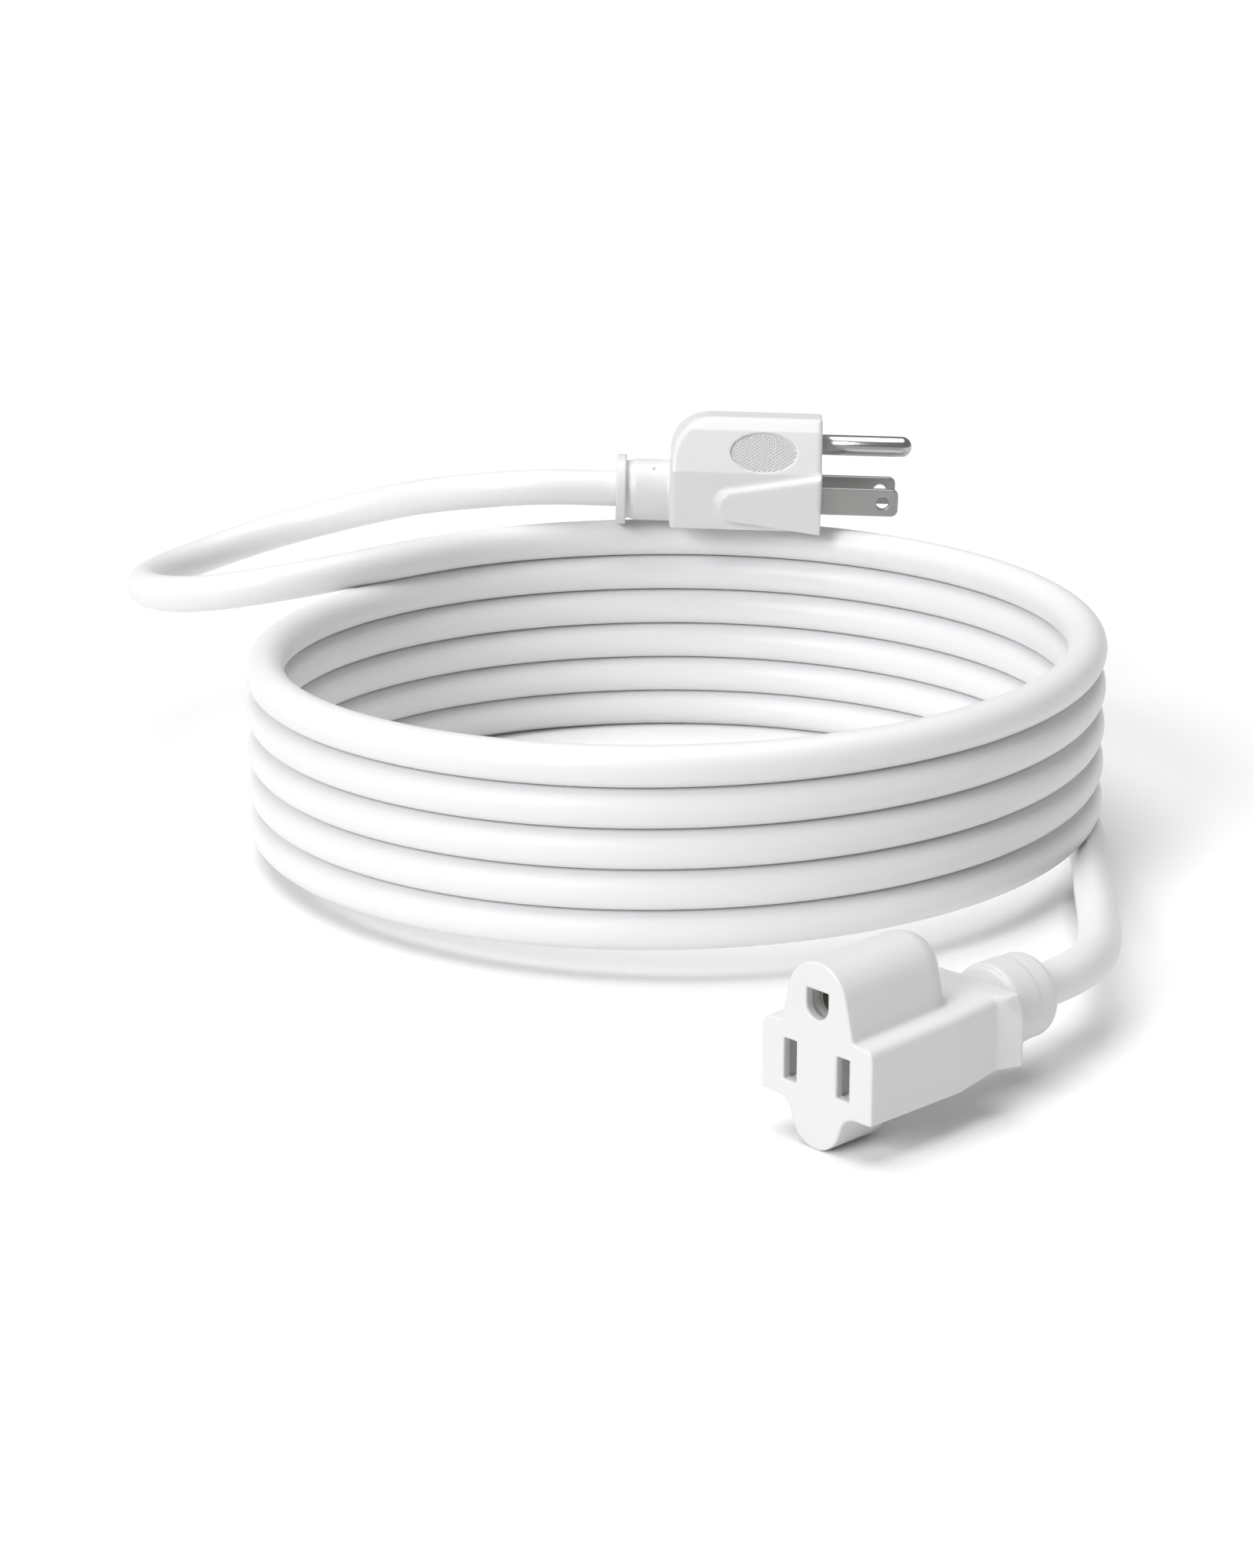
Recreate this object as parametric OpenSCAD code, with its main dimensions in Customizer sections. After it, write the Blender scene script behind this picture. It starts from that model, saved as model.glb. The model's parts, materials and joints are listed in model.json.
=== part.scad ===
// Coiled three-wire extension cord: moulded plug, round cord and moulded connector.
// Millimetres, +Z up. The origin is the coil's centre on the floor.
// The connector's face looks along -Y.

/* [Cord] */
// Outside diameter of the round jacket
cord_d = 8.3; // [7.8:0.1:8.4]
// Radius of the coil, to the middle of the cord
coil_r = 88; // [86:0.5:90]
// Layers of cord in the coil
coil_layers = 6; // [4:1:8]

/* [Prongs] */
// Distance between the middles of the two flat blades
blade_pitch = 12.7; // [12.6:0.1:12.8]
// Thickness of a flat blade
blade_t = 1.5; // [1.4:0.05:1.6]
// Height of a flat blade
blade_h = 6.35; // [6.2:0.05:6.5]
// Length of a flat blade in front of the plug's face
blade_len = 18; // [15.9:0.1:18.3]
// Diameter of the hole near a blade's tip
blade_hole_d = 3; // [2.5:0.1:3.2]
// Height of the ground pin above the middle of the blades
ground_rise = 11.9; // [11.8:0.1:12.0]
// Diameter of the ground pin
ground_d = 4.75; // [4.7:0.01:4.8]
// Length of the ground pin in front of the plug's face
ground_len = 21; // [20.6:0.1:21.4]

/* [Plug] */
// Length of the plug's body, without its strain relief
plug_len = 35; // [34:0.5:38]
// Width of the body between its two flat sides
plug_w = 21.6; // [21:0.1:23]
// Width over the two finger wedges at the face
wedge_w = 25; // [24:0.1:26]
// Half the height of the flat sides, and the depth below the blades' middle
side_half_h = 6.9; // [6.5:0.1:7.5]
// Height of the ridge above the middle of the blades
ridge_h = 18.9; // [18.4:0.1:20]
// Diameter of the strain relief's stub
stub_d = 14.3; // [13.5:0.1:15]
// Diameter of the flange where the cord leaves
flange_d = 16.3; // [15.5:0.1:17]
// Length of the plug's strain relief
plug_relief_len = 12.5; // [12:0.5:15]

/* [Connector] */
// Width of the connector's face over its wings
face_w = 26.4; // [25.6:0.1:27]
// Depth of the rounded keel below the middle of the slots
keel_depth = 14.9; // [14.5:0.1:15.5]
// Length of the winged body behind the face
wing_len = 38.5; // [38:0.5:40]
// Height of the hump above the middle of the slots
hump_h = 19.7; // [19:0.1:20.5]
// Length of the hump behind the face
hump_len = 27; // [26:0.5:29]
// Length of the keel behind the face
keel_len = 16; // [12:0.5:20]
// Diameter of the connector's strain relief
relief_d = 16.3; // [15.5:0.1:17]
// Length of the whole connector
connector_len = 56; // [55:0.5:60]
// Width of a blade slot
slot_w = 3.1; // [2.8:0.1:3.3]
// Height of a blade slot
slot_h = 7.7; // [7.2:0.1:8]
// Width of the ground opening
ground_slot_w = 5.3; // [5.2:0.1:5.6]

/* [Hidden] */

$fn = 48;
eps = 0.1;                 // overlap of solids that are joined
big = 60;                  // larger than any end piece
cord_r = cord_d / 2;
coil_h = coil_layers * cord_d;
blade_y = blade_pitch / 2;
skin = 2;                  // moulding in front of the inner blocks

// Where the two ends lie. Each end's own frame has +X out of its face and +Z up.
connector_pos = [141.5, -102.6, keel_depth];
plug_heading = 46;
rest_gap = 0.1;            // air between the coil's crown and what lies on it
flange_x = -(plug_len + plug_relief_len);
flange_t = 2.3;
seat_run = plug_len + plug_relief_len - 1.5;
plug_pitch = asin((flange_d / 2 - side_half_h) / seat_run);
plug_pos = [-37, 82.5, coil_h + side_half_h + rest_gap];

// Cord inside an end piece, and the wires in front of it
cord_grip = 9;
plug_cord_x = flange_x + cord_grip;
connector_cord_x = -(connector_len - cord_grip);
plug_crimp_x = -19;
connector_crimp_x = -29;
wire_r = 1.4;
core_r = 0.8;
head_r = 1.2;              // copper spread in the mouth of a crimp
head_len = 0.8;
crimp_r = 1.7;
crimp_len = 5;
lay_r = 1.9;               // wires' distance from the cord's axis where they meet it
tower_half_w = 4.2;        // upper part of the inner blocks, which holds the ground prong's parts

// Colours
white = [0.93, 0.94, 0.95];
nickel = [0.62, 0.62, 0.6];
chrome = [0.75, 0.76, 0.78];
tinned = [0.75, 0.74, 0.7];
copper = [0.75, 0.42, 0.25];
natural = [0.86, 0.85, 0.8];
line_black = [0.1, 0.1, 0.1];
neutral_white = [0.9, 0.9, 0.88];
ground_green = [0.1, 0.45, 0.2];

// Middle of the plug's lead, from the coil's last turn to the plug's flange
plug_route = [
  [-88, -4.5, 46], [-90.5, -21, 45.8], [-100, -34, 43.5], [-114.5, -41, 40],
  [-131, -41.5, 37.5], [-145.5, -34, 35.5], [-155, -21, 34.5], [-158, -5, 35.5],
  [-153.5, 10.5, 39], [-142, 22, 43.5], [-127, 27.5, 48.5], [-111, 27, 53], [-95.5, 28, 56.5]
];

// Middle of the connector's lead, from the coil's first turn to the strain relief
connector_route = [
  [61, 63.5, 4.15], [70, 55, 4.3], [80, 44, 4.9], [91, 32, 6], [101.5, 20, 7.5],
  [111.5, 9, 9.2], [121, -2, 10.9], [129.5, -12, 12.5], [136.5, -22, 13.8], [140.5, -33, 14.7]
];

// ---- general shapes and functions ----

function unit(v) = v / norm(v);

// An outline from the points of one half: flip is the sign each coordinate takes on the other half
function both_halves(half, flip) =
  concat(half, [for (i = [len(half) - 1:-1:0]) [flip[0] * half[i][0], flip[1] * half[i][1]]]);

// Points of an arc around c, from angle a0 to a1
function arc(c, r, a0, a1, steps) =
  [for (i = [0:steps]) let (a = a0 + (a1 - a0) * i / steps) c + r * [cos(a), sin(a)]];

// A point on the plug's axis, x in front of its face
function plug_point(x) =
  plug_pos + x * [
    cos(plug_pitch) * cos(plug_heading), cos(plug_pitch) * sin(plug_heading), -sin(plug_pitch)
  ];

// A point on the connector's axis, x in front of its face
function connector_point(x) = connector_pos + [0, -x, 0];

// Direction of a path at its point i
function heading(path, i) =
  unit(path[min(i + 1, len(path) - 1)] - path[max(i - 1, 0)]);

// One ring of a tube: points around path point i
function ring(path, i, r, sides) =
  let (t = heading(path, i), side = unit(cross(t, [0, 0, 1])), up = cross(side, t))
  [for (k = [0:sides - 1]) let (a = 360 * k / sides) path[i] + r * (side * cos(a) + up * sin(a))];

// Closed tube swept along a path
module tube(path, r, sides = 12) {
  n = len(path);
  points = [for (i = [0:n - 1]) each ring(path, i, r, sides)];
  walls = [for (i = [0:n - 2], k = [0:sides - 1])
    let (a = i * sides + k, b = i * sides + (k + 1) % sides)
    each [[a, b, b + sides], [a, b + sides, a + sides]]];
  first_cap = [[for (k = [sides - 1:-1:0]) k]];
  last_cap = [[for (k = [0:sides - 1]) (n - 1) * sides + k]];
  polyhedron(points, concat(walls, first_cap, last_cap));
}

module at_plug() translate(plug_pos) rotate([0, plug_pitch, plug_heading]) children();
module at_connector() translate(connector_pos) rotate([0, 0, -90]) children();

// Outline in Y and Z, extruded from x0 to x1
module along_x(x0, x1) translate([x0, 0, 0]) rotate([90, 0, 90]) linear_extrude(x1 - x0) children();

// Outline in X and Z, extruded evenly across Y
module across_y(w) rotate([90, 0, 0]) linear_extrude(w, center = true) children();

// Outline given as [radius, x], turned around the X axis
module turned_x() rotate([0, 90, 0]) rotate_extrude() children();

module rod_x(r, x0, x1, y = 0, z = 0)
  translate([x0, y, z]) rotate([0, 90, 0]) cylinder(r = r, h = x1 - x0);

module block(lo, hi) translate(lo) cube(hi - lo);

module rod_between(a, b, r) {
  d = b - a;
  translate(a) rotate([0, acos(d[2] / norm(d)), atan2(d[1], d[0])]) cylinder(r = r, h = norm(d));
}

// Straight slanted rod from point a to point b, with both ends cut square to X
module slanted(a, b, r) {
  spare = 0.3 * (b - a);
  intersection() {
    rod_between(a - spare, b + spare, r);
    block([b[0], -big, -big], [a[0], big, big]);
  }
}

// ---- wires inside an end piece: side is -1 or 1 for the blades and 0 for ground ----

// rise is the height of the ground crimp

function wire_front(x, side, rise) = [x, side * blade_y, side == 0 ? rise : 0];
function wire_back(x, side) = [x, side * lay_r * cos(30), side == 0 ? lay_r : -lay_r * sin(30)];

module wire_body(front_x, back_x, side, rise)
  slanted(wire_front(front_x, side, rise), wire_back(back_x, side), wire_r);

// Copper: a slanted run in the insulation, a head in the crimp's mouth and a straight run in its bore
module wire_core(front_x, back_x, side, rise) {
  a = wire_front(front_x, side, rise);
  b = wire_back(back_x, side);
  reach = head_len / 2;
  slanted(a + (a - b) * reach / (a[0] - b[0]), b, core_r);
  core_head(front_x, side, rise);
  rod_x(core_r, front_x + reach, front_x + crimp_len - 1, a[1], a[2]);
}

module core_head(x, side, rise) {
  p = wire_front(x, side, rise);
  rod_x(head_r, x, x + head_len, p[1], p[2]);
}

module wire(front_x, back_x, side, rise) difference() {
  a = wire_front(front_x, side, rise);
  b = wire_back(back_x, side);
  spare = 0.1 * (b - a);
  wire_body(front_x, back_x, side, rise);
  rod_between(a - spare, b + spare, core_r);
}

// Barrel that holds a wire's strands, from its mouth at x to front_x
module crimp(x, front_x, side, rise) {
  p = wire_front(x, side, rise);
  rod_x(crimp_r, x, front_x, p[1], p[2]);
}

module crimp_bore(x, side, rise) {
  p = wire_front(x, side, rise);
  rod_x(core_r, x - 1, x + crimp_len - 1, p[1], p[2]);
  rod_x(head_r, x - 1, x + head_len, p[1], p[2]);
}

// ---- plug ----

plug_shoulder = [6.3, 16];
plug_crown_half_w = 3.2;
tail_r = 10;
wedge_tail = [-20.5, -0.6];
wedge_tail_r = 3.6;
bridge_back_x = -14;
bridge_half_w = 9.3;
bridge_bottom = -5;
bridge_step = 5.2;         // top of the bridge's wide part
bridge_top = 15.8;
blade_corner_r = 1.6;
blade_hole_x = blade_len - 3.6;
pin_collar_x = -6;
pin_collar_r = 3.2;
pin_neck_r = 2.1;

module plug_section() {
  half_w = plug_w / 2;
  right = [
    [half_w, -side_half_h], [half_w, side_half_h], plug_shoulder, [plug_crown_half_w, ridge_h]
  ];
  polygon(both_halves(right, [-1, 1]));
}

// The body from the side, with the round corner at the top of its tail
module plug_profile() polygon(concat(
  [[0, -side_half_h], [0, ridge_h]],
  arc([tail_r - plug_len, ridge_h - tail_r], tail_r, 90, 180, 10),
  [[-plug_len, -side_half_h]]
));

// Finger wedge: narrow and round at the tail, as high as the side at the face
module wedge_outline() polygon(concat(
  [[0, -side_half_h], [0, side_half_h]],
  arc(wedge_tail, wedge_tail_r, 106, 261, 12)
));

module plug_outer() {
  intersection() {
    along_x(-plug_len, 0) plug_section();
    across_y(big) plug_profile();
  }
  across_y(wedge_w) wedge_outline();
  turned_x() polygon([
    [0, flange_x], [flange_d / 2, flange_x], [flange_d / 2, flange_x + flange_t],
    [stub_d / 2 - 0.6, flange_x + flange_t], [stub_d / 2, flange_x + 2 * flange_t],
    [stub_d / 2, -plug_len + 1], [0, -plug_len + 1]
  ]);
}

module bridge_outer() {
  block([bridge_back_x, -bridge_half_w, bridge_bottom], [-skin, bridge_half_w, bridge_step]);
  block([bridge_back_x, -tower_half_w, bridge_step - eps], [-skin, tower_half_w, bridge_top]);
}

// Flat blade with round tip corners and a hole, and the crimp behind it
module plug_blade_body(side) {
  top = blade_h / 2;
  tip = blade_len - blade_corner_r;
  translate([0, side * blade_y, 0]) across_y(blade_t) polygon(concat(
    [[bridge_back_x, -top]],
    arc([tip, blade_corner_r - top], blade_corner_r, 270, 360, 6),
    arc([tip, top - blade_corner_r], blade_corner_r, 0, 90, 6),
    [[bridge_back_x, top]]
  ));
  crimp(plug_crimp_x, bridge_back_x, side, ground_rise);
}

module plug_blade(side) difference() {
  plug_blade_body(side);
  crimp_bore(plug_crimp_x, side, ground_rise);
  translate([blade_hole_x, side * blade_y, 0]) rotate([90, 0, 0])
    cylinder(d = blade_hole_d, h = blade_t + 1, center = true);
}

module ground_pin_body() {
  r = ground_d / 2;
  translate([0, 0, ground_rise]) turned_x() polygon(concat(
    [[0, bridge_back_x], [crimp_r, bridge_back_x], [crimp_r, pin_collar_x], [pin_collar_r, pin_collar_x],
     [pin_collar_r, -skin], [pin_neck_r, -skin], [pin_neck_r, 0], [r, 0]],
    arc([0, ground_len - r], r, 0, 90, 12)
  ));
  crimp(plug_crimp_x, bridge_back_x, 0, ground_rise);
}

module plug_wires() for (side = [-1, 0, 1]) wire_body(plug_crimp_x, plug_cord_x, side, ground_rise);

module cord_seat(x) rod_x(cord_r, x - cord_grip - 1, x);

module plug_overmould() color(white) at_plug() difference() {
  plug_outer();
  bridge_outer();
  for (side = [-1, 1]) plug_blade_body(side);
  ground_pin_body();
  plug_wires();
  cord_seat(plug_cord_x);
}

module plug_bridge() color(natural) at_plug() difference() {
  bridge_outer();
  for (side = [-1, 1]) plug_blade_body(side);
  ground_pin_body();
}

module plug_line_blade() color(nickel) at_plug() plug_blade(1);
module plug_neutral_blade() color(nickel) at_plug() plug_blade(-1);

module plug_ground_pin() color(chrome) at_plug() difference() {
  ground_pin_body();
  crimp_bore(plug_crimp_x, 0, ground_rise);
}

module plug_wire(side) at_plug() wire(plug_crimp_x, plug_cord_x, side, ground_rise);
module plug_core(side) at_plug() wire_core(plug_crimp_x, plug_cord_x, side, ground_rise);

module plug_line_wire() color(line_black) plug_wire(1);
module plug_neutral_wire() color(neutral_white) plug_wire(-1);
module plug_ground_wire() color(ground_green) plug_wire(0);
module plug_line_core() color(copper) plug_core(1);
module plug_neutral_core() color(copper) plug_core(-1);
module plug_ground_core() color(copper) plug_core(0);

// ---- connector ----

hump_r = 7;
hump_foot = [8.6, 6.9];
keel_r = 5.8;
keel_fillet = 3;
end_round = 7;             // round at the back of the hump and the keel
wing_rise = 1.2;           // how much higher the wings' top is at the finger stop than at the face
stop_x = 34;               // start of the finger stop behind the wings
stop_half_w = 14.2;
waist_half_w = 12.4;
carrier_front = -skin;
carrier_back = -22;
cap_back = -24;
carrier_half_w = 10.8;
carrier_half_h = 5.3;
carrier_top = 16;
passage_front = -18;
chamber_back = -20;
chamber_half_w = 2.1;
chamber_half_h = 4.1;
leaf_t = 0.5;
leaf_front = -4;
leaf_back = -19.5;
leaf_half_h = 3.6;
leaf_play = 0.3;           // how much wider than the blade the leaves stand
sleeve_r = 3;
sleeve_bore_r = ground_d / 2 + 0.05;
sleeve_back = -17.5;
tail_z = 3.2;              // height of the ground contact's crimp, between the other two
tail_t = 1;

module hump_section() polygon(concat(
  [[hump_foot[0], 0], hump_foot],
  arc([0, hump_h - hump_r], hump_r, 8, 172, 20),
  [[-hump_foot[0], hump_foot[1]], [-hump_foot[0], 0]]
));

// Rounded keel, flaring out with hollow fillets where it meets the wings
module keel_section() {
  fx = keel_r + keel_fillet;
  fz = -side_half_h - keel_fillet;
  polygon(concat(
    [[-fx, 0]],
    arc([-fx, fz], keel_fillet, 90, 0, 6),
    arc([0, keel_r - keel_depth], keel_r, 180, 360, 20),
    arc([fx, fz], keel_fillet, 180, 90, 6),
    [[fx, 0]]
  ));
}

module wings_profile() polygon([
  [0, -side_half_h], [0, side_half_h], [-stop_x, side_half_h + wing_rise],
  [-wing_len, side_half_h + wing_rise - 0.3], [-wing_len, -side_half_h + 1.2],
  [-stop_x + 1, -side_half_h + 1.2], [-23.5, -side_half_h]
]);

module wings_plan() {
  half_w = face_w / 2;
  side = [
    [0, half_w], [-22, half_w], [-stop_x + 1, waist_half_w], [2 - wing_len, stop_half_w],
    [-wing_len, stop_half_w]
  ];
  polygon(both_halves(side, [1, -1]));
}

// Side outline of the hump and the keel, round at the back
module spine_profile() polygon(concat(
  [[0, -keel_depth], [0, hump_h]],
  arc([end_round - hump_len, hump_h - end_round], end_round, 90, 180, 8),
  [[-hump_len, 0], [-keel_len, 0]],
  arc([end_round - keel_len, end_round - keel_depth], end_round, 180, 270, 8)
));

module connector_outer() {
  intersection() {
    across_y(big) wings_profile();
    translate([0, 0, -10]) linear_extrude(20) wings_plan();
  }
  intersection() {
    along_x(-hump_len, 0) union() {
      hump_section();
      keel_section();
    }
    across_y(big) spine_profile();
  }
  neck_r = relief_d / 2 - 0.9;
  turned_x() polygon([
    [0, -connector_len], [relief_d / 2 - 1.5, -connector_len], [relief_d / 2, 1.5 - connector_len],
    [relief_d / 2, -45], [neck_r, -44], [neck_r, -wing_len + 1], [0, -wing_len + 1]
  ]);
}

// Wide block around the blades' contacts, with the tower for the ground contact on it
module inner_block(x0, x1) {
  block([x0, -carrier_half_w, -carrier_half_h], [x1, carrier_half_w, carrier_half_h]);
  block([x0, -tower_half_w, carrier_half_h - eps], [x1, tower_half_w, carrier_top]);
}

module carrier_outer() inner_block(carrier_back, carrier_front);
module cap_outer() inner_block(cap_back, carrier_back);

// Openings in the face: two blade slots and the ground hole, flat at its top
module face_openings() {
  half = ground_slot_w / 2;
  for (side = [-1, 1]) translate([0, side * blade_y, 0])
    block([carrier_front - 1, -slot_w / 2, -slot_h / 2], [1, slot_w / 2, slot_h / 2]);
  translate([0, 0, ground_rise]) along_x(carrier_front - 1, 1)
    polygon(concat([[half, half + 0.1], [-half, half + 0.1]], arc([0, 0], half, 180, 360, 16)));
}

module blade_chamber(side) translate([0, side * blade_y, 0])
  block([chamber_back, -chamber_half_w, -chamber_half_h], [1, chamber_half_w, chamber_half_h]);

// Room for the ground sleeve, and behind it for the strip down to its crimp
module ground_chamber() {
  rod_x(sleeve_r + 0.4, sleeve_back - tail_t, 1, 0, ground_rise);
  block([sleeve_back - tail_t, -1.7, tail_z - 2], [sleeve_back + 0.5, 1.7, ground_rise]);
}

module crimp_passage(side) crimp(connector_crimp_x, passage_front, side, tail_z);

// Two sprung leaves either side of the blade, joined at the back, and a crimp
module blade_contact(side) difference() {
  join_half_w = blade_t / 2 + leaf_t;
  join_t = 0.6;
  union() {
    translate([0, side * blade_y, 0]) {
      for (s = [-1, 1]) translate([0, s * (blade_t + leaf_t + leaf_play) / 2, 0])
        block([leaf_back, -leaf_t / 2, -leaf_half_h], [leaf_front, leaf_t / 2, leaf_half_h]);
      block([leaf_back, -join_half_w, -leaf_half_h], [leaf_back + join_t, join_half_w, leaf_half_h]);
    }
    crimp(connector_crimp_x, leaf_back + join_t / 2, side, tail_z);
  }
  crimp_bore(connector_crimp_x, side, tail_z);
}

module connector_wires() for (side = [-1, 0, 1])
  wire_body(connector_crimp_x, connector_cord_x, side, tail_z);

module connector_overmould() color(white) at_connector() difference() {
  connector_outer();
  carrier_outer();
  cap_outer();
  face_openings();
  for (side = [-1, 0, 1]) crimp_passage(side);
  connector_wires();
  cord_seat(connector_cord_x);
}

module contact_carrier() color(natural) at_connector() difference() {
  carrier_outer();
  for (side = [-1, 1]) blade_chamber(side);
  ground_chamber();
  for (side = [-1, 0, 1]) crimp_passage(side);
}

module carrier_cap() color(natural) at_connector() difference() {
  cap_outer();
  for (side = [-1, 0, 1]) crimp_passage(side);
}

module line_contact() color(tinned) at_connector() blade_contact(-1);
module neutral_contact() color(tinned) at_connector() blade_contact(1);

// Split sleeve that grips the ground pin, with a strip down to its crimp
module ground_contact() color(tinned) at_connector() difference() {
  union() {
    rod_x(sleeve_r, sleeve_back, leaf_front, 0, ground_rise);
    block([sleeve_back - tail_t, -1.5, tail_z - 1.5], [sleeve_back + 0.2, 1.5, ground_rise]);
    crimp(connector_crimp_x, sleeve_back - tail_t / 2, 0, tail_z);
  }
  rod_x(sleeve_bore_r, sleeve_back + 1.5, -3, 0, ground_rise);
  block([sleeve_back + 2.5, -0.4, ground_rise], [-3, 0.4, ground_rise + sleeve_r + 1]);
  crimp_bore(connector_crimp_x, 0, tail_z);
}

module connector_wire(side) at_connector() wire(connector_crimp_x, connector_cord_x, side, tail_z);
module connector_core(side) at_connector() wire_core(connector_crimp_x, connector_cord_x, side, tail_z);

module connector_line_wire() color(line_black) connector_wire(-1);
module connector_neutral_wire() color(neutral_white) connector_wire(1);
module connector_ground_wire() color(ground_green) connector_wire(0);
module connector_line_core() color(copper) connector_core(-1);
module connector_neutral_core() color(copper) connector_core(1);
module connector_ground_core() color(copper) connector_core(0);

// ---- cord ----

// The wound turns as one ring with a round crown and a round foot
module cord_coil() color(white) rotate_extrude($fn = 96) polygon(concat(
  arc([coil_r, coil_h - cord_r], cord_r, 0, 180, 12),
  arc([coil_r, cord_r], cord_r, 180, 360, 12)
));

module cord_plug_lead() color(white)
  tube(concat(plug_route, [for (x = [-18, 0, cord_grip]) plug_point(flange_x + x)]), cord_r);

module cord_connector_lead() color(white)
  tube(
    concat(connector_route, [for (x = [-connector_len, connector_cord_x]) connector_point(x)]),
    cord_r
  );

cord_coil();
cord_plug_lead();
cord_connector_lead();
plug_overmould();
plug_bridge();
plug_line_blade();
plug_neutral_blade();
plug_ground_pin();
plug_line_wire();
plug_neutral_wire();
plug_ground_wire();
plug_line_core();
plug_neutral_core();
plug_ground_core();
connector_overmould();
contact_carrier();
carrier_cap();
line_contact();
neutral_contact();
ground_contact();
connector_line_wire();
connector_neutral_wire();
connector_ground_wire();
connector_line_core();
connector_neutral_core();
connector_ground_core();
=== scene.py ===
import json
import math

import bmesh
import bpy
import numpy as np
from mathutils import Matrix, Vector

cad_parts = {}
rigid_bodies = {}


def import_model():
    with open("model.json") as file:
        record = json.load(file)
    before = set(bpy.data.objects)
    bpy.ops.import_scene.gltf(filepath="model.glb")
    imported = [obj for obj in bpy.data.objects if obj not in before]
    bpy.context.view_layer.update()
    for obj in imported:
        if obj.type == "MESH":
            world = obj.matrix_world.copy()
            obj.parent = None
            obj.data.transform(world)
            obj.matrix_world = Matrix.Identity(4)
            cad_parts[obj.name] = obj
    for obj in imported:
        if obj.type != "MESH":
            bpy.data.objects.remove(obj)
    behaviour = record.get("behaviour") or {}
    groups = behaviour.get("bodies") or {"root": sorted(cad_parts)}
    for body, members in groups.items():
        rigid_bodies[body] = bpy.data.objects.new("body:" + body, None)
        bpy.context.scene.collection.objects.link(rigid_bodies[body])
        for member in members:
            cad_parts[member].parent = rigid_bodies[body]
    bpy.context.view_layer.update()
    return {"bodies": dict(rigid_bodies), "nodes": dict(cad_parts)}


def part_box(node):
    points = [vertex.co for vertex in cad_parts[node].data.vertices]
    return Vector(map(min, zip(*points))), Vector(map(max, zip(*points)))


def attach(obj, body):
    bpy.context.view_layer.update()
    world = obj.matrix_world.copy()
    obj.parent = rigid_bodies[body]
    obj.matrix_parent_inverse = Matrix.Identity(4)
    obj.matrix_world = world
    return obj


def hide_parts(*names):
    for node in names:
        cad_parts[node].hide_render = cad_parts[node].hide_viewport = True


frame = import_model()

# ---- sizes, in metres unless a comment says otherwise ----

MM = 0.001
NODES = frame["nodes"]
BODY = next(iter(frame["bodies"]))

COIL_LAYERS = 6
coil_low, coil_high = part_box("cord_coil")
CORD_D = (coil_high.z - coil_low.z) / COIL_LAYERS
CORD_R = CORD_D / 2
COIL_R = (coil_high.x - coil_low.x) / 2 - CORD_R

# In degrees: where the coil's first turn starts, how far all turns go round, and the part of each
# round over which it climbs onto the turn below; COIL_STEP is the spacing of the route's points
COIL_START = 46.0
COIL_SWEEP = 5 * 360.0 + 137.0
CLIMB_FROM, CLIMB_TO = 100.0, 345.0
COIL_STEP = 15.0

# The cord's mesh: spacing of its rings, sides of a ring, and passes that even out its bends
RING_SPACING = 0.002
CORD_SIDES = 40
STIFFENING = 26

# Each end's own frame, in mm: +X out of its face, +Z up, origin in its face between the blades
PLUG_LEN, PLUG_RELIEF = 35.0, 12.5
CONNECTOR_LEN = 56.0
CORD_GRIP = 9.0
PLUG_RUN_IN = 18.0  # straight cord behind the plug's flange
SIDE_HALF_H = 6.9
FLANGE_R, FLANGE_T, STUB_R, STUB_NARROWING = 8.15, 2.3, 7.15, 0.6
FLANGE_X = -(PLUG_LEN + PLUG_RELIEF)
PLUG_HEADING = math.radians(46)
SEAT_RUN = PLUG_LEN + PLUG_RELIEF - 1.5  # the plug rests on its flange and on its lower front edge
PLUG_PITCH = math.asin((FLANGE_R - SIDE_HALF_H) / SEAT_RUN)
PLUG_AT = Vector((-0.037, 0.0825, coil_high.z + 0.007))
CONNECTOR_AT = Vector((0.1415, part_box("connector_overmould")[0].y, 0.0149))

# Middle of the plug's lead and of the connector's lead, as in the CAD
PLUG_ROUTE = [
    (-0.088, -0.0045, 0.046), (-0.0905, -0.021, 0.0458), (-0.1, -0.034, 0.0435),
    (-0.1145, -0.041, 0.04), (-0.131, -0.0415, 0.0375), (-0.1455, -0.034, 0.0355),
    (-0.155, -0.021, 0.0345), (-0.158, -0.005, 0.0355), (-0.1535, 0.0105, 0.039),
    (-0.142, 0.022, 0.0435), (-0.127, 0.0275, 0.0485), (-0.111, 0.027, 0.053),
    (-0.0955, 0.028, 0.0565),
]
CONNECTOR_ROUTE = [
    (0.061, 0.0635, 0.00415), (0.07, 0.055, 0.0043), (0.08, 0.044, 0.0049), (0.091, 0.032, 0.006),
    (0.1015, 0.02, 0.0075), (0.1115, 0.009, 0.0092), (0.121, -0.002, 0.0109), (0.1295, -0.012, 0.0125),
    (0.1365, -0.022, 0.0138), (0.1405, -0.033, 0.0147),
]

PLUG_TURN = Matrix.Rotation(PLUG_HEADING, 4, "Z") @ Matrix.Rotation(PLUG_PITCH, 4, "Y")
PLUG_MATRIX = Matrix.Translation(PLUG_AT) @ PLUG_TURN
CONNECTOR_MATRIX = Matrix.Translation(CONNECTOR_AT) @ Matrix.Rotation(-math.pi / 2, 4, "Z")


# ---- helpers ----

def new_object(name, data):
    obj = bpy.data.objects.new(name, data)
    bpy.context.scene.collection.objects.link(obj)
    return obj


def aim(obj, place, target):
    """Put a camera or a light at place, looking at target."""
    obj.location = place
    obj.rotation_mode = "QUATERNION"
    obj.rotation_quaternion = (Vector(target) - Vector(place)).to_track_quat("-Z", "Y")


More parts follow.
